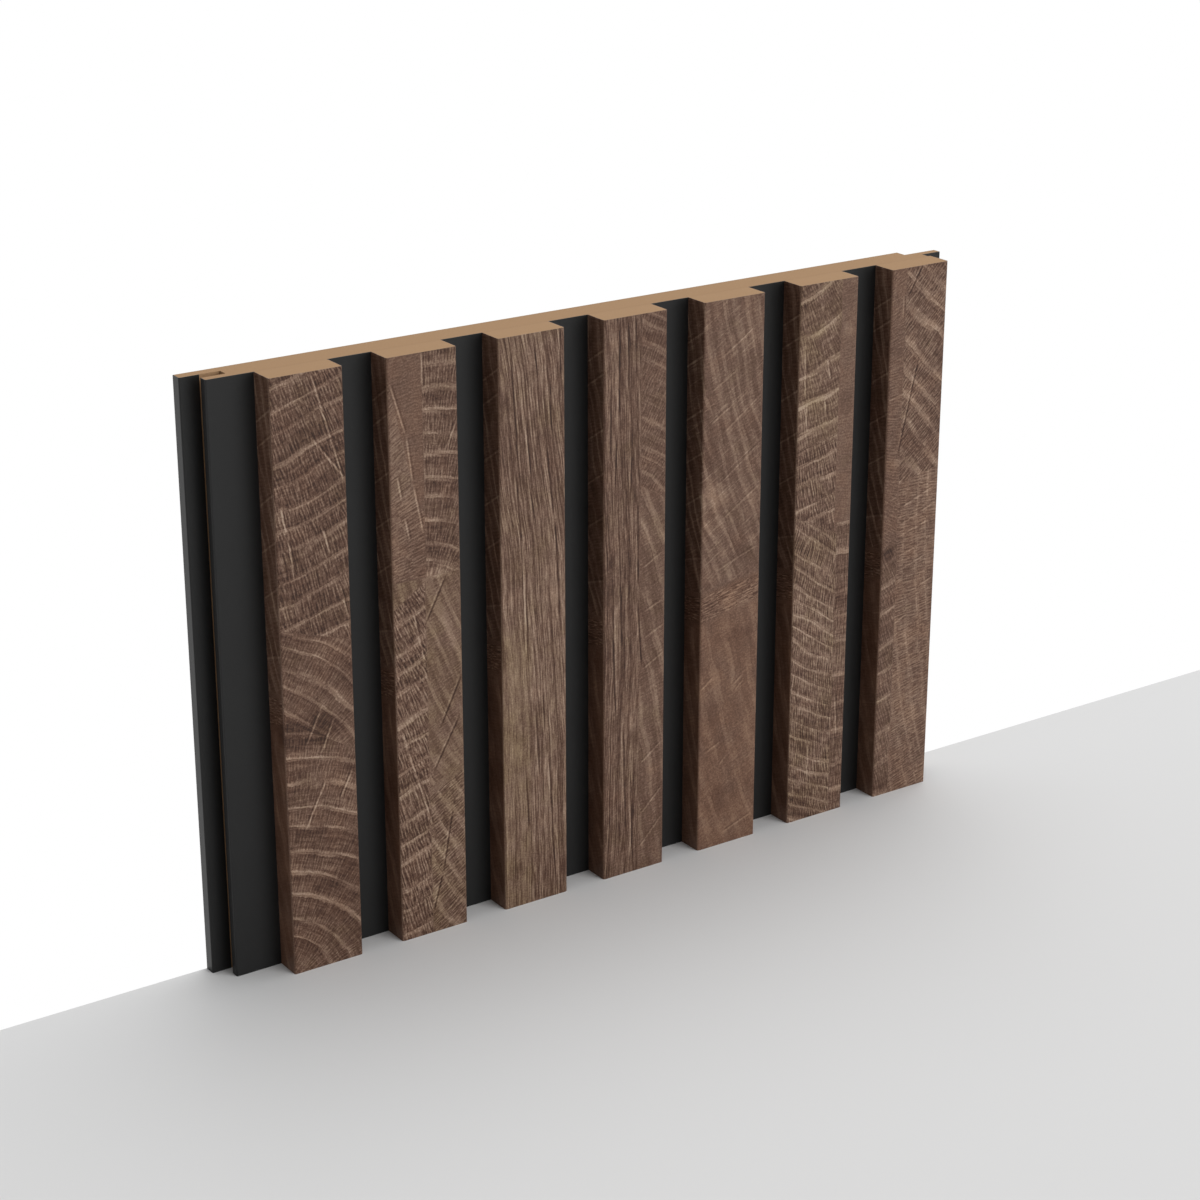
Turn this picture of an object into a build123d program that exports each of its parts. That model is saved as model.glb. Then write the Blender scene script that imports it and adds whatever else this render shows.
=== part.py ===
import os

from build123d import *

# Slat wall panel: an MDF board with a tongue and a groove along its sides, seven MDF slats glued to its front,
# a wood decor foil round each slat, and black film on the stretches of the board that stay in view.
# The panel stands on its lower cut end. X runs to the right as seen from the front, the slats face -Y,
# the wall side faces +Y, and the origin is the middle of the foot. Sizes are in millimetres.

# Slats
slat_count = 7
slat_pitch = 40.0
slat_width = 25.0         # over the foil
slat_depth = 9.3          # from the face of the black film to the face of the foil
slat_edge_radius = 0.6    # rounding of the MDF under the foil
slat_overhang = 1.0       # reach of the last slat past the edge of the board
panel_height = 198.0

# Board
board_thickness = 10.5    # from the bare back to the face of the black film
front_lip_thickness = 3.0
rear_lip_thickness = 4.0
rear_lip_reach = 5.4      # from the end of the front lip to the end of the rear lip
groove_depth = 8.3        # from the end of the front lip
lip_edge_radius = 0.3     # rounding of the MDF under the film

# Room between this panel's tongue and lips and those of the next panel
joint_clearance = 0.2
tip_clearance = 0.4

# Skins
foil_thickness = 0.2      # wood decor on the slats
film_thickness = 0.2      # black film on the board
film_tuck = 1.3           # run of the film into the mouth of the groove

# Sizes that follow
slat_gap = slat_pitch - slat_width
cover_width = slat_count * slat_pitch
overall_width = rear_lip_reach + cover_width + groove_depth - tip_clearance
overall_depth = board_thickness + slat_depth

# Places along X. The next panel's lips repeat this panel's, one cover width further on.
rear_lip_end = -overall_width / 2
front_lip_end = rear_lip_end + rear_lip_reach
groove_bottom = front_lip_end + groove_depth
first_slat = front_lip_end + slat_gap + slat_overhang
board_edge = front_lip_end + cover_width
rear_recess = rear_lip_end + cover_width - joint_clearance
tongue_tip = groove_bottom + cover_width - tip_clearance

# Places along Y
slat_face = -overall_depth / 2
board_back = overall_depth / 2
film_face = board_back - board_thickness
front_lip_back = film_face + front_lip_thickness
rear_lip_face = board_back - rear_lip_thickness
tongue_face = front_lip_back + joint_clearance
tongue_back = rear_lip_face - joint_clearance

# The bare MDF lies one film thickness behind each filmed face.
bare_face = film_face + film_thickness
bare_rear_lip_end = rear_lip_end + film_thickness
bare_rear_lip_face = rear_lip_face + film_thickness
bare_front_lip_end = front_lip_end + film_thickness
bare_board_edge = board_edge - film_thickness
bare_tongue_face = tongue_face + film_thickness

os.makedirs("parts", exist_ok=True)


def save(part, label):
    part.label = label
    export_step(part, f"parts/{label}.step")


# A wrapped skin follows the visible face given by its corners, from the wall side round to the right.
# Its thickness goes inwards from that face, onto the rounded edges of the MDF.
def make_wrapped_skin(corners, thickness, core_radius, label):
    with BuildPart() as skin:
        with BuildSketch():
            with BuildLine():
                FilletPolyline(*corners, radius=core_radius + thickness)
                offset(amount=thickness, side=Side.LEFT)
            make_face()
        extrude(amount=panel_height)
    save(skin.part, label)


# The board is one moulded section: two lips with the groove between them on the left,
# and the tongue on the right with a recess behind it for the next panel's rear lip.
def make_base_board():
    with BuildPart() as base_board:
        with BuildSketch() as section:
            with BuildLine():
                Polyline(
                    (bare_rear_lip_end, board_back),
                    (bare_rear_lip_end, bare_rear_lip_face),
                    (groove_bottom, bare_rear_lip_face),
                    (groove_bottom, front_lip_back),
                    (bare_front_lip_end, front_lip_back),
                    (bare_front_lip_end, bare_face),
                    (bare_board_edge, bare_face),
                    (bare_board_edge, bare_tongue_face),
                    (tongue_tip, bare_tongue_face),
                    (tongue_tip, tongue_back),
                    (rear_recess, tongue_back),
                    (rear_recess, board_back),
                    close=True,
                )
            make_face()
            lip_corners = [
                section.vertices().sort_by_distance((bare_rear_lip_end, bare_rear_lip_face))[0],
                section.vertices().sort_by_distance((bare_front_lip_end, bare_face))[0],
            ]
            fillet(lip_corners, radius=lip_edge_radius)
        extrude(amount=panel_height)
    save(base_board.part, "base_board")


# One slat is an MDF strip glued to the bare board, with its two front edges rounded.
def make_slat_core(left, label):
    with BuildPart() as slat_core:
        with BuildSketch() as section:
            with Locations((left + foil_thickness, slat_face + foil_thickness)):
                Rectangle(
                    slat_width - 2 * foil_thickness,
                    bare_face - slat_face - foil_thickness,
                    align=Align.MIN,
                )
            front_corners = section.vertices().group_by(Axis.Y)[0]
            fillet(front_corners, radius=slat_edge_radius)
        extrude(amount=panel_height)
    save(slat_core.part, label)


# The foil wraps both sides and the front of its slat, down to the bare board.
def make_slat_foil(left, label):
    right = left + slat_width
    corners = [(left, bare_face), (left, slat_face), (right, slat_face), (right, bare_face)]
    make_wrapped_skin(corners, foil_thickness, slat_edge_radius, label)


# A flat film is a strip of the section given by its nearest left corner, its width and its depth.
def make_flat_film(left, front, width, depth, label):
    with BuildPart() as film:
        with BuildSketch():
            with Locations((left, front)):
                Rectangle(width, depth, align=Align.MIN)
        extrude(amount=panel_height)
    save(film.part, label)


# On the left the film covers the end of each lip and the face beside it.
# Round the rear lip it runs a little way into the groove.
def make_lip_films():
    rear_corners = [
        (rear_lip_end, board_back),
        (rear_lip_end, rear_lip_face),
        (front_lip_end + film_tuck, rear_lip_face),
    ]
    front_corners = [
        (front_lip_end, front_lip_back),
        (front_lip_end, film_face),
        (first_slat, film_face),
    ]
    make_wrapped_skin(rear_corners, film_thickness, lip_edge_radius, "rear_lip_film")
    make_wrapped_skin(front_corners, film_thickness, lip_edge_radius, "front_lip_film")


# On the right one strip goes down the edge of the board, under the last slat, and one along the tongue.
def make_tongue_films():
    make_flat_film(bare_board_edge, bare_face, film_thickness, tongue_face - bare_face, "board_edge_film")
    make_flat_film(bare_board_edge, tongue_face, tongue_tip - bare_board_edge, film_thickness, "tongue_film")


make_base_board()
make_lip_films()
make_tongue_films()
for number in range(1, slat_count + 1):
    slat_left = first_slat + (number - 1) * slat_pitch
    make_slat_core(slat_left, f"slat_core_{number}")
    make_slat_foil(slat_left, f"slat_foil_{number}")
    if number < slat_count:
        # Between two slats the film fills the gap from foil to foil.
        make_flat_film(slat_left + slat_width, film_face, slat_gap, film_thickness, f"gap_film_{number}")
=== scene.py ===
import math
import bpy
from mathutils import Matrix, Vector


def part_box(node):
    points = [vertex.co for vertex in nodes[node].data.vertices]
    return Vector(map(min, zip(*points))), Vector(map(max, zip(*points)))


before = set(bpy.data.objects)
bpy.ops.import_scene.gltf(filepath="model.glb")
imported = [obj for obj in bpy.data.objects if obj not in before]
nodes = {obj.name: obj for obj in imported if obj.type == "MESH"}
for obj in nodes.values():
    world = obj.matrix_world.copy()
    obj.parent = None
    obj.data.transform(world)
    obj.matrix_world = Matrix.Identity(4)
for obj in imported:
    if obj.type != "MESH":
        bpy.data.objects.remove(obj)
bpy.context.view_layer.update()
print("frame loaded:", len(nodes), "nodes")


# shader maths: a wire is one output socket, and arithmetic on wires adds Math nodes
class Wire:
    def __init__(self, socket):
        self.socket = socket

    def node(self, kind, settings, inputs, output=0):
        tree = self.socket.id_data
        made = tree.nodes.new(kind)
        for name, value in settings.items():
            if name == "stops":
                setStops(made.color_ramp, value)
            else:
                setattr(made, name, value)
        for key, value in inputs.items():
            if isinstance(value, Wire):
                tree.links.new(value.socket, made.inputs[key])
            else:
                made.inputs[key].default_value = value
        return Wire(made.outputs[output])

    def math(self, operation, *values):
        return self.node("ShaderNodeMath", {"operation": operation}, dict(enumerate((self, *values))))

    def __add__(self, other):
        return self.math("ADD", other)

    def __radd__(self, other):
        return self.math("ADD", other)

    def __sub__(self, other):
        return self.math("SUBTRACT", other)

    def __rsub__(self, other):
        return self.node("ShaderNodeMath", {"operation": "SUBTRACT"}, {0: other, 1: self})

    def __mul__(self, other):
        return self.math("MULTIPLY", other)

    def __rmul__(self, other):
        return self.math("MULTIPLY", other)

    def __truediv__(self, other):
        return self.math("DIVIDE", other)

    def __gt__(self, other):
        return self.math("GREATER_THAN", other)

    def __abs__(self):
        return self.math("ABSOLUTE")


def setStops(ramp, stops):
    while len(ramp.elements) < len(stops):
        ramp.elements.new(1.0)
    for element, (place, colour) in zip(ramp.elements, stops):
        element.position = place
        element.color = (*colour, 1.0)


def paint(red, green, blue):
    # a colour as picked on screen, 0 to 255, made linear
    shares = [value / 255 for value in (red, green, blue)]
    return tuple(s / 12.92 if s <= 0.04045 else ((s + 0.055) / 1.055) ** 2.4 for s in shares)


def smooth(value, low, high):
    # 0 below low, 1 above high, with a soft step between them
    return value.node("ShaderNodeMapRange", {"interpolation_type": "SMOOTHSTEP"},
                      {"Value": value, "From Min": low, "From Max": high})


def fall(value, low, high):
    # 1 below low, 0 above high
    return value.node("ShaderNodeMapRange", {"interpolation_type": "SMOOTHSTEP"},
                      {"Value": value, "From Min": low, "From Max": high, "To Min": 1.0, "To Max": 0.0})


def vector(x, y, z):
    source = next(part for part in (x, y, z) if isinstance(part, Wire))
    return source.node("ShaderNodeCombineXYZ", {}, {"X": x, "Y": y, "Z": z})


def split(wire):
    return [wire.node("ShaderNodeSeparateXYZ", {}, {"Vector": wire}, axis) for axis in "XYZ"]


def pattern(look, place):
    # noise over a place, stepped between its edges where it has them
    value = place.node("ShaderNodeTexNoise", {"noise_dimensions": "3D"},
                       {"Vector": place, "Scale": look.get("scale", 1.0), "Detail": look.get("detail", 1.0),
                        "Roughness": look.get("roughness", 0.5)}, "Fac")
    return smooth(value, *look["edges"]) if "edges" in look else value


def stretched(look, *directions):
    # a pattern that is finer one way than another, with a scale for each direction
    scaled = [direction * scale for direction, scale in zip(directions, look["scales"])]
    return pattern(look, vector(*scaled))


def swing(value):
    # a value between 0 and 1 as a swing to either side of zero
    return value - 0.5


# where a Mix node has its two inputs and its output
mixSockets = {"RGBA": (6, 7, 2), "VECTOR": (4, 5, 1)}


def blend(share, first, second, kind="RGBA"):
    # first where share is 0, second where it is 1; colours and vectors only
    firstSocket, secondSocket, output = mixSockets[kind]
    inputs = {0: share, firstSocket: first, secondSocket: second}
    return share.node("ShaderNodeMix", {"data_type": kind}, inputs, output)


def tinted(colour, filterColour):
    firstSocket, secondSocket, output = mixSockets["RGBA"]
    inputs = {0: 1.0, firstSocket: colour, secondSocket: filterColour}
    return colour.node("ShaderNodeMix", {"data_type": "RGBA", "blend_type": "MULTIPLY"}, inputs, output)


def newMaterial(name):
    material = bpy.data.materials.new(name)
    material.use_nodes = True
    shader = material.node_tree.nodes["Principled BSDF"]
    coordinates = material.node_tree.nodes.new("ShaderNodeTexCoord")
    return material, shader, Wire(coordinates.outputs["Object"])


def feed(shader, socket, wire):
    shader.id_data.links.new(wire.socket, shader.inputs[socket])


def bump(height, depth):
    # height in shares of depth, depth in metres
    return height.node("ShaderNodeBump", {}, {"Strength": 1.0, "Distance": depth, "Height": height})


perMetre = 1000.0  # millimetres


def millimetres(coordinates):
    return [axis * perMetre for axis in split(coordinates)]


# oak foil on the slats: patches of end grain, straight grain and smooth wood, cut along straight seams
# places are millimetres on the slat's face, across from its left edge and up from its foot
# a patch lies to the left of each of its seams, and later patches cover earlier ones
# a seam runs from one place to another, and a third number makes it softer
# centre, spacing and phase place a patch's growth rings, and breadth is the share of a ring that is pale
# bands, streaks and fibres say how strongly each shows, and lean tilts the streaks
# tone makes it paler, or darker below 0, and tint runs from olive to red
plainPatch = {
    "centre": (-100, 0),
    "spacing": 7.0,
    "phase": 0.0,
    "breadth": 0.38,
    "bands": 0.0,
    "streaks": 0.0,
    "fibres": 0.0,
    "tone": 0.0,
    "tint": 0.0,
    "lean": 0.0,
}

# all sides show one and the same strip: steep bands crossed by rays, smooth and redder below, and a lower
# tone that is painted shade on the sides
# in the rays of a side the first number of a place is minus the depth behind the face
sidePatches = [
    {"centre": (330, 255), "spacing": 4.3, "breadth": 0.6, "bands": 0.8, "streaks": 0.3,
     "tone": -0.045, "tint": 0.1},
    {"seams": [((25, 100), (0, 96), 2)], "centre": (-150, 60), "streaks": 0.9, "tone": -0.045,
     "tint": 0.6},
    {"seams": [((25, 90), (0, 85), 2)], "centre": (300, 130), "spacing": 7.0, "breadth": 0.7,
     "bands": 0.5, "streaks": 0.15, "tone": -0.045, "tint": 0.7},
]
sideRays = [((-13, 180), (4, 191)), ((-13, 172), (4, 183)), ((-13, 153.5), (4, 164.5)),
            ((-13, 138.5), (4, 149.5)), ((-13, 123.5), (4, 134.5)), ((-13, 105), (4, 111))]

# pale rays and dark cracks run from one place to another
# fine rays have a direction, the two heights between which they lie, and a tone
# clouds have a middle, a reach across and up, and a tone
slatDecors = [
    {  # slat 1: slanting bands above, rings round the foot below
        "patches": [
            {"centre": (-35, 320), "spacing": 7.4, "phase": -0.58, "breadth": 0.28, "bands": 1.05,
             "streaks": 0.85, "tone": -0.04},
            {"seams": [((25, 110), (0, 118))], "centre": (-27, 46), "spacing": 5.6, "phase": 0.27,
             "breadth": 0.32, "bands": 0.9, "streaks": 0.5, "tone": -0.03, "tint": 0.1},
            {"seams": [((25, 73), (0, 88))], "centre": (-8, -9), "spacing": 7.7, "phase": 0.05,
             "breadth": 0.3, "bands": 1.15, "streaks": 0.55, "tone": -0.03, "tint": 0.1},
        ],
        "rayPower": 0.38,
        "rays": [((13.5, 199), (24.5, 160)), ((2, 158), (4, 148)), ((4, 149), (6, 133)),
                 ((16, 149), (18.5, 139)), ((21.5, 128), (23.8, 118)), ((6, 49), (14.5, 66)),
                 ((18.5, 56.5), (23.5, 66)), ((7, 77), (14, 91)), ((12.5, 74), (18, 86)),
                 ((13, 178), (25, 162))],
        "clouds": [((8, 83), (17, 7), -0.26), ((14, 29), (9, 5), -0.12), ((9, 109), (16, 4), 0.07),
                   ((14, 16), (6, 9), -0.05), ((18, 92), (7, 4), 0.08), ((1.5, 152), (3, 15), 0.1)],
    },
    {  # slat 2: a smooth wedge and level bands above, slanting bands and a fan below
        "patches": [
            {"centre": (-200, 150), "streaks": 0.25, "tone": -0.02, "tint": 0.4},
            {"seams": [((8.5, 155), (0, 192))], "centre": (-80, 110), "streaks": 0.5, "tone": 0.04,
             "tint": 0.0},
            {"seams": [((12, 149), (0, 153))], "centre": (-80, 110), "streaks": 0.6, "tint": 0.2},
            {"seams": [((12.2, 198), (12.2, 0))], "centre": (10, 110), "spacing": 7.1, "phase": 0.27,
             "bands": 1.0, "streaks": 0.7, "tone": -0.01},
            {"seams": [((25, 125), (0, 125))], "centre": (397, 265), "spacing": 4.6, "breadth": 0.85,
             "bands": 0.6, "streaks": 0.3, "tone": 0.01, "tint": -0.3},
            {"seams": [((25, 58), (0, 44), 3), ((11.8, 198), (11.8, 0))], "centre": (397, 265),
             "spacing": 5.4, "breadth": 0.6, "bands": 0.8, "streaks": 0.8, "tone": 0.01, "tint": -0.3},
            {"seams": [((12, 124), (0, 116)), ((11.8, 0), (11.8, 198))], "centre": (-50, 230),
             "spacing": 8.0, "phase": -0.17, "bands": 1.0, "streaks": 1.0, "tone": 0.01},
        ],
        "rayPower": 0.3,
        "rays": [((12.3, 199), (12.3, 187)), ((0.5, 191), (6.2, 172)), ((6.2, 173), (8.2, 156)),
                 ((8.2, 157), (11.6, 139)), ((2.6, 160), (4, 152)), ((5, 146), (6.6, 138)),
                 ((1, 78), (9, 50)), ((9, 51), (12.5, 38)), ((9.8, 97), (12, 89)),
                 ((20, 165), (24.8, 175)), ((7, 114), (11.5, 94))],
        "cracks": [((11.5, 109), (20, 125)), ((13, 57), (24, 76)), ((16, 72), (25, 90)),
                   ((12, 7), (16, 21)), ((16, 20), (20.5, 44))],
        "clouds": [((16.5, 126), (6, 2.6), 0.3), ((18, 185), (8, 5), -0.12), ((5, 166), (6, 8), 0.07)],
    },
    {  # slat 3: straight grain, paler and greener at the lower left
        "patches": [
            {"centre": (-1300, 10), "fibres": 0.95, "tone": 0.025, "tint": -0.1},
            {"seams": [((25, 100), (0, 100), 14), ((11, 0), (11, 198), 3)], "centre": (-1300, 10),
             "fibres": 0.7, "tone": 0.07, "tint": -0.5},
        ],
        "rayPower": 0.2,
        "rays": [((9.3, 88), (8.5, 122)), ((8, 150), (5.2, 195)), ((19, 48), (18, 72)),
                 ((16, 198), (16.8, 165))],
        "cracks": [((20.6, 0), (17.8, 56)), ((9.8, 27), (8.8, 48)), ((11.8, 0), (11.8, 12)),
                   ((14.2, 44), (12.8, 74)), ((22.7, 95), (20.8, 138)), ((20.6, 135), (17.6, 161)),
                   ((10.2, 86), (9.3, 128)), ((8.2, 127), (6.2, 151)), ((12.8, 134), (10.3, 173)),
                   ((7, 161), (4.4, 193)), ((15.6, 166), (13.3, 199)), ((16.4, 61), (15.7, 76)),
                   ((19.8, 164), (19.2, 183)), ((23.5, 182), (23.2, 199))],
        "clouds": [((4, 70), (4, 4), 0.1), ((5, 13), (4, 4), -0.12)],
    },
    {  # slat 4: straight grain, with slanting wood along the right
        "patches": [
            {"centre": (-1500, 90), "fibres": 0.9, "tone": -0.06, "tint": 0.0},
            {"seams": [((14.8, 198), (14.2, 0))], "centre": (-371, -16), "spacing": 5.8, "phase": 0.3,
             "breadth": 0.6, "bands": 0.6, "streaks": 0.2, "tone": -0.03, "tint": 0.0},
            {"seams": [((15, 198), (14.6, 0)), ((0, 149), (25, 134))], "centre": (-31, 79),
             "spacing": 4.4, "breadth": 0.6, "bands": 0.6, "streaks": 0.45, "tone": -0.04, "tint": 0.1},
        ],
        "rayPower": 0.2,
        "rays": [((15, 110.5), (25, 116)), ((15, 74), (25, 79.5)), ((14, 7.5), (25, 19)),
                 ((14.5, 20), (25, 30)), ((14.5, 39.5), (25, 47)), ((16, 85.5), (25, 89.5)),
                 ((16, 95), (24.5, 98.5)), ((4.9, 78), (4, 102))],
        "cracks": [((12.2, 0), (11, 40)), ((9.2, 13), (8, 58)), ((15.6, 74), (13.6, 101)),
                   ((13.9, 104), (13.5, 139)), ((7.5, 81), (6.8, 108)), ((4.4, 139), (5, 159)),
                   ((6, 163), (6.2, 199)), ((9.8, 171), (9.5, 199)), ((12.8, 177), (12.4, 199)),
                   ((10.8, 137), (11, 151)), ((3.5, 92), (5, 58)), ((2.6, 150), (3, 178))],
        "fineRays": [((25, 14), 2, 130, 0.08)],
    },
    {  # slat 5: steep bands crossed by rays, smooth and redder below
        "patches": [
            {"centre": (330, 255), "spacing": 4.3, "breadth": 0.8, "bands": 0.55, "streaks": 0.2,
             "tone": -0.03, "tint": 0.1},
            {"seams": [((25, 100), (0, 96), 2)], "centre": (-150, 60), "streaks": 0.8, "tone": 0.0,
             "tint": 0.7},
            {"seams": [((25, 90), (0, 85), 2)], "centre": (300, 130), "spacing": 7.0, "breadth": 0.7,
             "bands": 0.35, "streaks": 0.1, "tone": 0.0, "tint": 0.9},
        ],
        "rayPower": 0.18,
        "rays": [((7, 178), (21, 187)), ((2, 166.5), (15, 174)), ((7, 151), (25, 164)),
                 ((8, 135), (25, 147)), ((6, 120), (25, 132)), ((6, 103.5), (25, 110)),
                 ((3, 156), (13, 162)), ((0, 60.5), (6, 65)), ((10, 4), (24, 9)),
                 ((2, 36.5), (10, 40)), ((15, 57.5), (19, 61)), ((14.6, 60), (19, 63.5)),
                 ((9, 31), (11.6, 33.6))],
        "fineRays": [((18, 12), 100, 198, 0.17), ((18, 9), 0, 80, 0.07)],
        "clouds": [((5, 131), (9, 5), 0.15), ((14, 79), (14, 3), -0.08), ((3, 124), (6, 3), -0.1),
                   ((10, 18), (9, 6), -0.07), ((3, 145), (4, 9), -0.1), ((21, 112), (4, 3), 0.12),
                   ((12, 98), (14, 3), -0.07)],
    },
    {  # slat 6: curved bands above, a chevron of bands below
        "patches": [
            {"centre": (-18, 250), "spacing": 10.8, "phase": 0.27, "breadth": 0.28, "bands": 1.15,
             "streaks": 0.6, "tone": 0.03, "tint": -0.3},
            {"seams": [((25, 146), (0, 140))], "centre": (-18, 250), "spacing": 6.7, "phase": 0.3,
             "bands": 1.0, "streaks": 0.95, "tone": 0.03, "tint": 0.0},
            {"seams": [((18, 198), (17, 0))], "centre": (-120, 150), "streaks": 0.2, "tone": 0.02,
             "tint": 0.2},
            {"seams": [((25, 104), (0, 116))], "centre": (109, 232), "spacing": 4.9, "bands": 1.0,
             "streaks": 0.95, "tone": 0.03, "tint": -0.2, "lean": -0.58},
            {"seams": [((25, 111), (0, 111)), ((18.8, 198), (18.8, 0))], "centre": (22, -120),
             "spacing": 11.5, "breadth": 0.28, "bands": 1.0, "streaks": 0.6, "tone": -0.01},
        ],
        "rayPower": 0.3,
        "rays": [((2.3, 180), (3, 157)), ((12, 172), (13.8, 163)), ((3.5, 156), (3.8, 148)),
                 ((11.5, 157), (12.2, 150)), ((20, 49), (21.5, 29)), ((8.6, 30), (8.6, 14))],
        "clouds": [((8, 186), (14, 6), 0.08), ((21, 154), (5, 6), -0.12), ((21, 180), (3.5, 4), 0.14),
                   ((22, 192), (4, 5), -0.06), ((4, 8), (9, 6), -0.1), ((22, 45), (4, 4), -0.14),
                   ((21.5, 85), (4, 3), -0.16)],
    },
    {  # slat 7: a strip of its own on the left, broad slanting bands above, a fine fan below
        "patches": [
            {"centre": (-200, -52), "spacing": 7.5, "phase": 0.2, "breadth": 0.5, "bands": 0.85,
             "streaks": 0.75, "tone": 0.01, "tint": 0.15},
            {"seams": [((25, 124), (0, 118))], "centre": (350, 105), "spacing": 5.0, "breadth": 0.45,
             "bands": 0.45, "streaks": 0.6, "tone": 0.045, "tint": 0.3},
            {"seams": [((6.4, 0), (6.4, 198))], "centre": (-70, 150), "streaks": 0.4, "tone": -0.02,
             "tint": 0.3},
            {"seams": [((7, 0), (7, 198)), ((25, 99), (0, 97))], "centre": (-40, 180),
             "spacing": 11.5, "breadth": 0.25, "bands": 0.9, "streaks": 0.5, "tone": -0.01},
        ],
        "rayPower": 0.2,
        "rays": [((6, 110), (25, 117)), ((7, 104), (25, 110.5)), ((7, 100), (22, 104)),
                 ((8, 92.5), (20, 96)), ((8, 87), (21, 91)), ((7, 67), (13, 69.5)),
                 ((0, 151.5), (7.5, 153)), ((5.3, 189), (5.3, 180)), ((17, 79), (25, 82))],
        "cracks": [((5, 129), (14, 168)), ((7, 187), (14, 199))],
        "fineRays": [((18, 6), 20, 118, 0.1)],
        "clouds": [((2.5, 94), (4, 3), -0.25), ((5.2, 128), (2.5, 2), 0.16), ((22, 24), (3, 4), -0.12)],
    },
]

oakFinish = {
    "colours": [(0.0, paint(49, 30, 21)), (0.28, paint(80, 55, 42)), (0.5, paint(106, 81, 67)),
                (0.75, paint(140, 115, 97)), (1.0, paint(172, 149, 130))],
    "hues": [(0.0, (0.94, 0.98, 0.80)), (0.5, (0.96, 0.96, 0.96)), (1.0, (1.0, 0.91, 0.83))],
    "hueBase": 0.05,
    "hueTint": 0.5,
    "hueDrift": 0.9,
    "hueClouds": {"scale": 0.12, "detail": 2.0},
    "gloss": 0.24,
    "roughness": 0.5,
    "roughnessSpread": 0.15,
    "relief": 0.00002,
    "reliefGrain": {"scale": 2.0, "detail": 2.0},
    "edgeDepth": (0.2, 0.8),  # where the face turns into the sides
    "seamBlur": 0.3,
    "slatStep": 37.0,  # how far apart the slats lie in the noise
    # plain wood, where tone runs from 0 for the darkest colour to 1 for the palest
    "tone": 0.44,
    # painted shade: the sides are painted darker than the face
    "paintedSideShade": 0.05,
    "cloudTone": 0.3,
    "clouds": {"scale": 0.06, "detail": 2.0},
    "gritTone": 0.38,
    "faceGritTone": 0.37,
    "grit": {"scale": 1.7, "detail": 3.0, "roughness": 0.7},
    # growth rings
    "ringWobble": 0.7,
    "arcWobble": 0.3,
    "wobble": {"scale": 0.55},
    "ringWave": 4.0,
    "waves": {"scale": 0.05},
    "ringUneven": 0.9,
    "uneven": {"scales": (0.6, 5.1, 0.0), "detail": 0.0},
    "poreReach": 0.6,
    "pores": {"scales": (1.5, 1.3, 3.7), "detail": 3.0, "roughness": 0.75},
    "bandTone": 0.31,
    "bandStart": 0.95,
    "bandFull": 0.5,
    "bandPower": {"scales": (0.73, 0.07, 1.9), "edges": (0.2, 0.65)},
    "ringFade": 0.16,
    "shadeTone": 0.18,
    "ringShade": {"scales": (0.61, 0.03, 2.3), "detail": 0.0},
    "ringLineTone": 0.2,
    "ringLines": {"scales": (1.1, 0.1, 9.0), "detail": 2.0, "roughness": 0.6, "edges": (0.3, 0.7)},
    "ringTone": -0.02,
    # strokes across the rings
    "combTone": 0.37,
    "combPitch": 5.6,
    "combDrift": 9.0,
    "combEdges": (-0.4, 0.9),
    "combMiddle": 0.45,
    "combPores": (0.3, 0.6),
    "drift": {"scales": (0.45, 0.14, 4.3), "detail": 0.0},
    "hairTone": 0.35,
    "hairs": {"scales": (2.0, 0.35, 2.1), "edges": (0.36, 0.64)},
    "bandCover": 0.6,  # how far a band hides the strokes
    # fibres of straight grain
    "fibreTone": 0.06,
    "fibreWave": 3.0,
    "fibreWaves": {"scale": 0.03},
    "fibreWobble": 0.12,
    "broadTone": 0.1,
    "broadFibres": {"scales": (0.35, 0.012, 1.0)},
    "longTone": 0.22,
    "longFibres": {"scales": (1.8, 0.014, 4.0), "edges": (0.36, 0.64)},
    "fleckTone": 0.32,
    "flecks": {"scales": (2.6, 0.15, 2.0), "edges": (0.36, 0.64)},
    "darkLineTone": 0.22,
    "darkLineWidth": (0.01, 0.09),
    "darkLines": {"scales": (0.45, 0.006, 5.0)},
    # rays and cracks
    "rayWidth": 0.45,
    "sideRayTone": 0.19,
    "crackWidth": 0.46,
    "crackTone": -0.36,
    "lineEdges": (0.3, 1.0),
    "lineEnds": (0.6, 1.0),
    "besideStep": 1.6,
    "besideTone": 0.45,
    "fineRayFade": 4.0,
    "fineRays": {"scales": (1.5, 0.08, 8.0), "edges": (0.56, 0.72)},
}


def along(place, direction, zero, unit=1.0):
    # how far a place lies along a direction, counted in units from zero
    length = math.hypot(*direction)
    step = (direction[0] / length, direction[1] / length, 0.0)
    distance = place.node("ShaderNodeVectorMath", {"operation": "DOT_PRODUCT"},
                          {0: place, 1: step}, "Value")
    start = (zero[0] * direction[0] + zero[1] * direction[1]) / length
    return distance.math("MULTIPLY_ADD", 1 / unit, -start / unit)


def leftOf(place, start, end, blur):
    # 1 on the left of the line from start to end and 0 on its right, with a step as broad as blur
    across = (start[1] - end[1], end[0] - start[0])
    return smooth(along(place, across, start), -blur / 2, blur / 2)


def drawnLine(place, start, end, width):
    # a thin straight line, faded towards its ends, with a fainter line of the other sort beside it
    run = (end[0] - start[0], end[1] - start[1])
    middle = ((start[0] + end[0]) / 2, (start[1] + end[1]) / 2)
    aside = along(place, (-run[1], run[0]), middle, width)
    lengthwise = along(place, run, middle, math.hypot(*run) / 2)
    line = fall(abs(aside), *oakFinish["lineEdges"])
    beside = fall(abs(aside - oakFinish["besideStep"]), *oakFinish["lineEdges"])
    return (line - beside * oakFinish["besideTone"]) * fall(abs(lengthwise), *oakFinish["lineEnds"])


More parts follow.
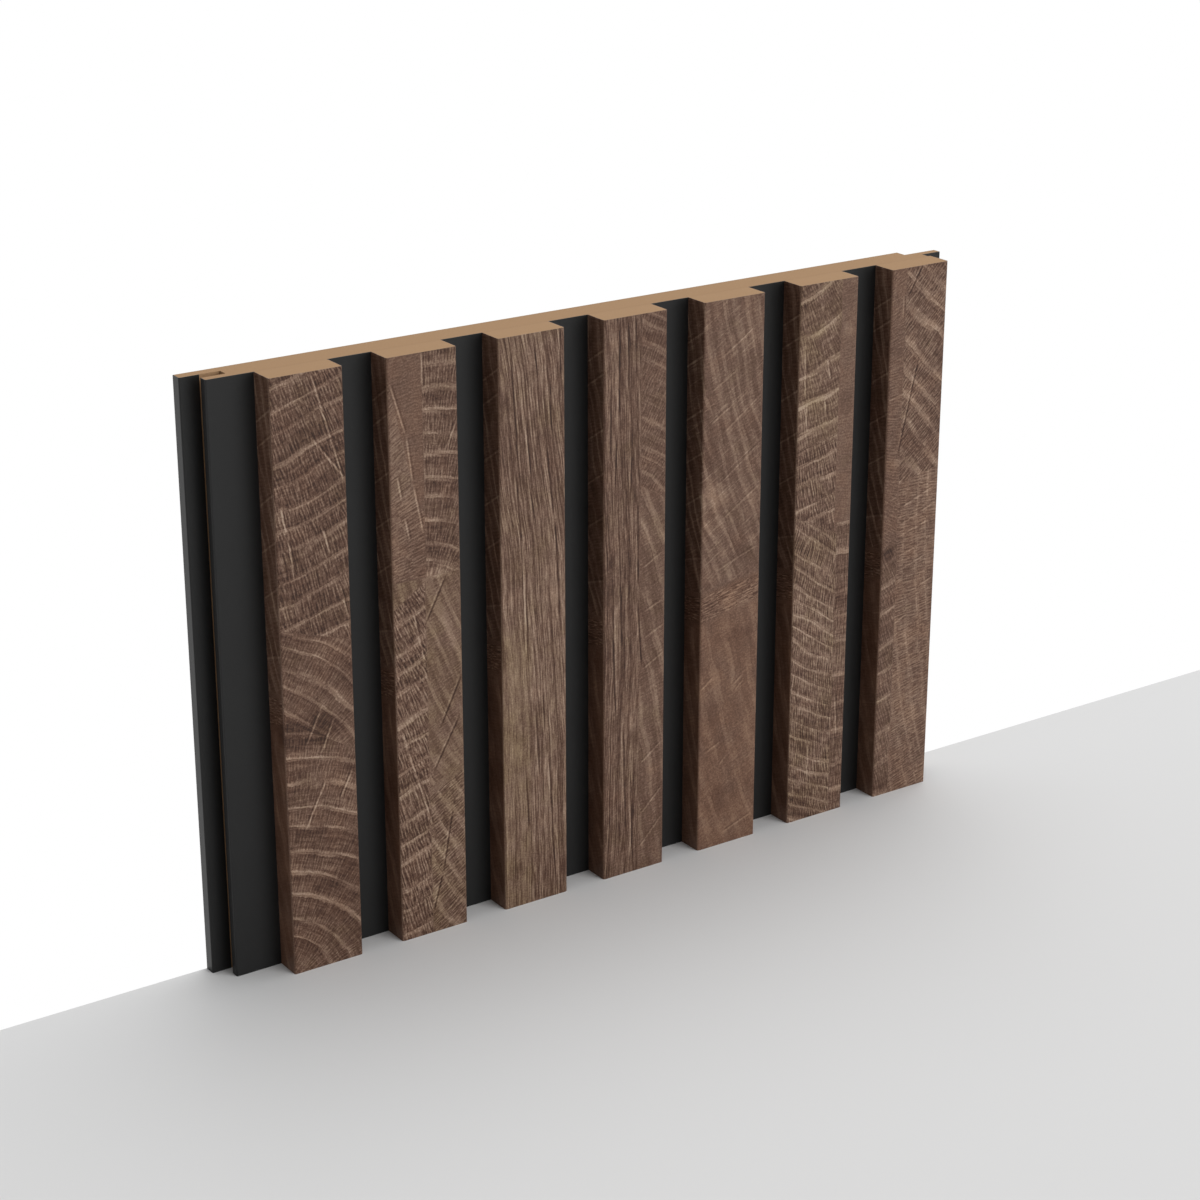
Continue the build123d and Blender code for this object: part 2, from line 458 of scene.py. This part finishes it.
def fineRays(place, v, run, bottom, top):
    # hair-thin pale lines that all run one way, between two heights
    fade = oakFinish["fineRayFade"]
    across = along(place, (-run[1], run[0]), (0, 0))
    lengthwise = along(place, run, (0, 0))
    lines = stretched(oakFinish["fineRays"], across, lengthwise, 1)
    return lines * smooth(v, bottom - fade, bottom + fade) * fall(v, top - fade, top + fade)


def cloud(u, v, middle, reach):
    # a soft oval spot
    across = (u - middle[0]) / reach[0]
    up = (v - middle[1]) / reach[1]
    return fall(across * across + up * up, 0.0, 1.0)


def patchNumbers(place, side, patches):
    # each patch hands its own numbers to everything that is drawn from them
    layers = [(patch, None) for patch in patches] + [(patch, side) for patch in sidePatches]
    for patch, mask in layers:
        patch = {**plainPatch, **patch}
        own = [(*patch["centre"], patch["spacing"]), (patch["phase"], patch["breadth"], patch["bands"]),
               (patch["streaks"], patch["fibres"], patch["tone"]), (patch["tint"], patch["lean"], 0.0)]
        for start, end, *soft in patch.get("seams", []):
            inside = leftOf(place, start, end, soft[0] if soft else oakFinish["seamBlur"])
            mask = inside if mask is None else mask * inside
        rows = own if mask is None else [blend(mask, *pair, "VECTOR") for pair in zip(rows, own)]
    return [number for row in rows for number in split(row)][:-1]


def oakFoil(number, decor):
    look = oakFinish
    material, shader, coordinates = newMaterial(f"oakFoil{number}")
    low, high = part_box(f"slat_foil_{number}")
    x, y, v = millimetres(coordinates)
    width = (high.x - low.x) * perMetre
    across = x - low.x * perMetre
    depth = y - low.y * perMetre
    # the sides are unrolled beside the face, so that the grain runs on round both edges
    u = across + ((across > width / 2) * 2 - 1) * depth
    place = vector(u, v, number * look["slatStep"])
    face = fall(depth, *look["edgeDepth"])
    side = 1 - face
    (centreU, centreV, spacing, phase, breadth, bands,
     streaks, fibres, tone, tint, lean) = patchNumbers(place, side, decor["patches"])

    # rings wander a little, each with its own shade and its own pale, pored band at its edge
    awayU = u - centreU
    awayV = v - centreV
    radius = (awayU * awayU + awayV * awayV).math("SQRT")
    wobble = swing(pattern(look["wobble"], place))
    uneven = swing(stretched(look["uneven"], radius / spacing, number, 0)) * spacing
    waves = swing(pattern(look["waves"], place))
    wavy = radius + uneven * look["ringUneven"] + waves * look["ringWave"] + wobble * look["ringWobble"]
    turn = wavy / spacing + phase
    ring = turn.math("FLOOR")
    share = turn.math("FRACT")
    angle = awayV.math("ARCTAN2", awayU)
    arc = angle * (ring - phase + 0.5) * spacing + wavy * lean + wobble * look["arcWobble"]
    pores = stretched(look["pores"], arc, wavy, ring)
    crest = abs(swing(share)) * 2 + swing(pores) * look["poreReach"]
    nearestEdge = (turn + 0.5).math("FLOOR")
    bandShape = smooth(crest, 1 - breadth * look["bandStart"], 1 - breadth * look["bandFull"])
    bandLight = bandShape * stretched(look["bandPower"], nearestEdge, arc, number)
    ringShade = swing(stretched(look["ringShade"], ring, arc, number))
    ringLines = swing(stretched(look["ringLines"], wavy, arc, 1))
    rings = (bandLight * look["bandTone"] - share * share * look["ringFade"] + ringShade * look["shadeTone"]
             + ringLines * look["ringLineTone"] + look["ringTone"])

    # short straight strokes stand across the rings, and change from one ring to the next
    drift = stretched(look["drift"], arc, wavy, ring)
    teeth = (arc * look["combPitch"] + drift * look["combDrift"]).math("SINE")
    comb = (smooth(teeth, *look["combEdges"]) - look["combMiddle"]) * smooth(pores, *look["combPores"])
    hairs = swing(stretched(look["hairs"], arc, wavy, ring))
    bare = 1 - bandLight * bands * look["bandCover"]
    strokes = (comb * look["combTone"] + hairs * look["hairTone"]) * bare
    clouds = swing(pattern(look["clouds"], place)) * look["cloudTone"]
    grit = swing(pattern(look["grit"], place)) * (face * look["faceGritTone"] + look["gritTone"])
    # the face term paints the sides darker than the face, as painted shade on the sides
    value = (look["tone"] + tone + face * look["paintedSideShade"] + clouds + grit
             + bands * rings + streaks * strokes)

    # long fibres follow the rings of straight grain
    if any("fibres" in patch for patch in decor["patches"]):
        fibreWaves = swing(pattern(look["fibreWaves"], place))
        strand = radius + fibreWaves * look["fibreWave"] + wobble * look["fibreWobble"]
        broad = swing(stretched(look["broadFibres"], strand, v, 1)) * look["broadTone"]
        longFibres = swing(stretched(look["longFibres"], strand, v, 1)) * look["longTone"]
        flecks = swing(stretched(look["flecks"], strand, v, 1)) * look["fleckTone"]
        fromLine = abs(swing(stretched(look["darkLines"], strand, v, 1)))
        darkLines = fall(fromLine, *look["darkLineWidth"]) * look["darkLineTone"]
        value = value + fibres * (broad + longFibres + flecks - darkLines + look["fibreTone"])

    for start, end in decor.get("rays", []):
        ray = drawnLine(place, start, end, look["rayWidth"])
        value = ray.math("MULTIPLY_ADD", decor["rayPower"], value)
    sidePlace = vector(depth * -1, v, 0.0)
    for start, end in sideRays:
        ray = drawnLine(sidePlace, start, end, look["rayWidth"]) * side
        value = ray.math("MULTIPLY_ADD", look["sideRayTone"], value)
    for start, end in decor.get("cracks", []):
        crack = drawnLine(place, start, end, look["crackWidth"])
        value = crack.math("MULTIPLY_ADD", look["crackTone"], value)
    for run, bottom, top, amount in decor.get("fineRays", []):
        value = fineRays(place, v, run, bottom, top).math("MULTIPLY_ADD", amount, value)
    for middle, reach, amount in decor.get("clouds", []):
        value = cloud(u, v, middle, reach).math("MULTIPLY_ADD", amount, value)

    plain = value.node("ShaderNodeValToRGB", {"stops": look["colours"]}, {"Fac": value}, "Color")
    hueDrift = pattern(look["hueClouds"], place) * look["hueDrift"]
    hueShare = tint * look["hueTint"] + hueDrift + look["hueBase"]
    hue = hueShare.node("ShaderNodeValToRGB", {"stops": look["hues"]}, {"Fac": hueShare}, "Color")
    feed(shader, "Base Color", tinted(plain, hue))
    shader.inputs["Specular IOR Level"].default_value = look["gloss"]
    feed(shader, "Roughness", look["roughness"] - swing(value) * look["roughnessSpread"])
    feed(shader, "Normal", bump(pattern(look["reliefGrain"], place), look["relief"]))
    return material


# bare MDF: pressed fibre that lies flat in the board, a little darker towards its faces
mdfFinish = {
    "board": paint(165, 133, 101),
    "slat": paint(167, 135, 103),
    "dark": 0.86,
    "pale": 1.06,
    "gloss": 0.12,
    "roughness": 0.85,
    "roughnessSpread": 0.1,
    "relief": 0.00004,
    "layerRelief": 0.5,
    # shade runs from 0 for pale to 1 for dark
    "shade": 0.35,
    "layerShade": 0.3,
    "layers": {"scales": (0.35, 3.0, 0.5), "detail": 3.0, "roughness": 0.6},
    "speckShade": 0.9,
    "specks": {"scale": 1.5, "detail": 3.0, "roughness": 0.75},
    "skinShade": 0.2,
    "skin": (0.7, 1.0),  # share of the way from the middle of the board to its faces
    # the back
    "backDepth": 0.05,
    "backShade": -0.2,
    "cloudShade": 1.2,
    "clouds": {"scale": 0.04, "detail": 3.0, "roughness": 0.6},
    "fleckShade": 0.6,
    "flecks": {"scale": 0.4, "detail": 4.0, "roughness": 0.75, "edges": (0.3, 0.7)},
}


def bareMdf(name, colour, low, high):
    look = mdfFinish
    material, shader, coordinates = newMaterial(name)
    x, y, z = millimetres(coordinates)
    place = vector(x, y, z)
    layers = stretched(look["layers"], x, y, z)
    specks = pattern(look["specks"], place)
    middle = (low.y + high.y) / 2 * perMetre
    half = (high.y - low.y) / 2 * perMetre
    skin = smooth(abs(y - middle) / half, *look["skin"])
    # the sanded back shows the fibres from above: clouds and short flecks
    back = y > high.y * perMetre - look["backDepth"]
    clouds = swing(pattern(look["clouds"], place)) * look["cloudShade"]
    flecks = swing(pattern(look["flecks"], place)) * look["fleckShade"]
    mottle = clouds + flecks + look["backShade"]
    shade = (swing(layers) * look["layerShade"] + swing(specks) * look["speckShade"]
             + skin * look["skinShade"] + back * mottle + look["shade"])
    dark = tuple(part * look["dark"] for part in colour)
    pale = tuple(min(part * look["pale"], 1.0) for part in colour)
    share = shade.math("MINIMUM", 1.0).math("MAXIMUM", 0.0)
    feed(shader, "Base Color", blend(share, (*pale, 1.0), (*dark, 1.0)))
    shader.inputs["Specular IOR Level"].default_value = look["gloss"]
    feed(shader, "Roughness", look["roughness"] + swing(specks) * look["roughnessSpread"])
    feed(shader, "Normal", bump(layers * look["layerRelief"] + specks, look["relief"]))
    return material


# black film: a fine even grain, dull
filmFinish = {
    "dark": (*paint(14, 14, 14), 1.0),
    "pale": (*paint(26, 26, 26), 1.0),
    "gloss": 0.3,
    "roughness": 0.42,
    "roughnessSpread": 0.15,
    "relief": 0.00002,
    "grainShare": 0.6,
    "grain": {"scale": 2.6, "detail": 2.0, "roughness": 0.6},
    "cloudShare": 0.4,
    "clouds": {"scale": 0.05, "detail": 2.0},
}


def blackFilm():
    look = filmFinish
    material, shader, coordinates = newMaterial("blackFilm")
    place = vector(*millimetres(coordinates))
    grain = pattern(look["grain"], place)
    clouds = pattern(look["clouds"], place)
    share = clouds * look["cloudShare"] + grain * look["grainShare"]
    feed(shader, "Base Color", blend(share, look["dark"], look["pale"]))
    shader.inputs["Specular IOR Level"].default_value = look["gloss"]
    feed(shader, "Roughness", look["roughness"] + swing(grain) * look["roughnessSpread"])
    feed(shader, "Normal", bump(grain, look["relief"]))
    return material


def dress(node, material):
    slots = nodes[node].data.materials
    slots.clear()
    slots.append(material)


boardLow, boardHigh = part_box("base_board")
coreLow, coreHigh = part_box("slat_core_1")
boardMdf = bareMdf("boardMdf", mdfFinish["board"], boardLow, boardHigh)
slatMdf = bareMdf("slatMdf", mdfFinish["slat"], coreLow, coreHigh)
film = blackFilm()
for node in nodes:
    if node == "base_board":
        dress(node, boardMdf)
    elif node.startswith("slat_core"):
        dress(node, slatMdf)
    elif node.endswith("film") or node.startswith("gap_film"):
        dress(node, film)
for number, decor in enumerate(slatDecors, 1):
    dress(f"slat_foil_{number}", oakFoil(number, decor))
print("finishes done:", len(bpy.data.materials), "materials")


# a pale grey floor that turns white far away, and a white backdrop that shows from the front only
stageSet = {
    "reach": 6.0,
    "grey": (*paint(220, 220, 220), 1.0),
    "white": (1.0, 1.0, 1.0, 1.0),
    "roughness": 0.9,
    "fade": (1.2, 3.0),  # distances between which the floor turns white
    "backdropGap": 0.0002,
    "world": 0.33,  # light on the object from all round
}


def seenRays(wire):
    # 1 for rays that show the background: straight, mirrored or through glass
    camera, glossy, transmission = [wire.node("ShaderNodeLightPath", {}, {}, f"Is {kind} Ray")
                                    for kind in ("Camera", "Glossy", "Transmission")]
    return (camera + glossy + transmission).math("MINIMUM", 1.0)


def stagePlane(name, place, tilt):
    bpy.ops.mesh.primitive_plane_add(size=2 * stageSet["reach"], location=place, rotation=(tilt, 0, 0))
    plane = bpy.context.object
    plane.name = name
    material, shader, coordinates = newMaterial(f"{name}Paint")
    material.cycles.emission_sampling = "NONE"
    plane.data.materials.append(material)
    return material, shader, coordinates


def whiteWhere(material, share, plain):
    # white where share is 1, seen but giving no light to the object, and the plain shader elsewhere
    tree = material.node_tree
    glow = share.node("ShaderNodeEmission", {}, {"Color": stageSet["white"]}, "Emission")
    both = share.node("ShaderNodeMixShader", {}, {0: share * seenRays(share), 1: plain, 2: glow})
    tree.links.new(both.socket, tree.nodes["Material Output"].inputs["Surface"])


def makeFloor():
    bpy.ops.object.select_all(action="DESELECT")
    material, shader, coordinates = stagePlane("floor", (0, 0, 0), 0)
    shader.inputs["Base Color"].default_value = stageSet["grey"]
    shader.inputs["Roughness"].default_value = stageSet["roughness"]
    x, y, _ = split(coordinates)
    away = (x * x + y * y).math("SQRT")
    whiteWhere(material, smooth(away, *stageSet["fade"]), Wire(shader.outputs["BSDF"]))


def makeBackdrop():
    place = (0, boardHigh.y + stageSet["backdropGap"], stageSet["reach"])
    material, _, coordinates = stagePlane("backdrop", place, math.radians(90))
    clear = coordinates.node("ShaderNodeBsdfTransparent", {}, {})
    front = 1 - coordinates.node("ShaderNodeNewGeometry", {}, {}, "Backfacing")
    whiteWhere(material, front, clear)


def makeWorld():
    world = bpy.data.worlds.new("studio")
    bpy.context.scene.world = world
    world.use_nodes = True
    tree = world.node_tree
    background = tree.nodes["Background"]
    strength = seenRays(Wire(background.outputs[0])) * (1 - stageSet["world"]) + stageSet["world"]
    background.inputs["Color"].default_value = stageSet["white"]
    tree.links.new(strength.socket, background.inputs["Strength"])


# broad soft lamps: one overhead, a little behind, and one in front to the right
lampSet = [
    {"name": "overheadLamp", "place": (1.0, 0.8, 3.5), "aim": (0.0, 0.0, 0.1), "size": 3.2, "power": 84.0},
    {"name": "frontLamp", "place": (1.6, -3.6, 1.7), "aim": (0.0, 0.0, 0.1), "size": 2.8, "power": 100.0},
]


def makeLamp(lampPlan):
    bpy.ops.object.light_add(type="AREA", location=lampPlan["place"])
    lamp = bpy.context.object
    lamp.name = lampPlan["name"]
    lamp.data.size = lampPlan["size"]
    lamp.data.energy = lampPlan["power"]
    aim = [end - start for start, end in zip(lampPlan["place"], lampPlan["aim"])]
    tilt = math.atan2(math.hypot(aim[0], aim[1]), -aim[2])
    turn = math.atan2(-aim[0], aim[1])
    lamp.rotation_euler = (tilt, 0, turn)


# the camera stands to the left of the panel and looks down on it
cameraSet = {
    "place": (-0.47233, -0.69078, 0.41301),
    "tilt": 69.42,
    "turn": -34.36,
    "lens": 79.94,
    "nearest": 0.01,
}


def makeCamera():
    bpy.ops.object.camera_add(location=cameraSet["place"])
    camera = bpy.context.object
    camera.name = "camera"
    camera.rotation_euler = (math.radians(cameraSet["tilt"]), 0, math.radians(cameraSet["turn"]))
    camera.data.lens = cameraSet["lens"]
    camera.data.clip_start = cameraSet["nearest"]
    bpy.context.scene.camera = camera


makeFloor()
makeBackdrop()
makeWorld()
for lampPlan in lampSet:
    makeLamp(lampPlan)
makeCamera()
bpy.context.scene.view_settings.view_transform = "Standard"
print("stage done")
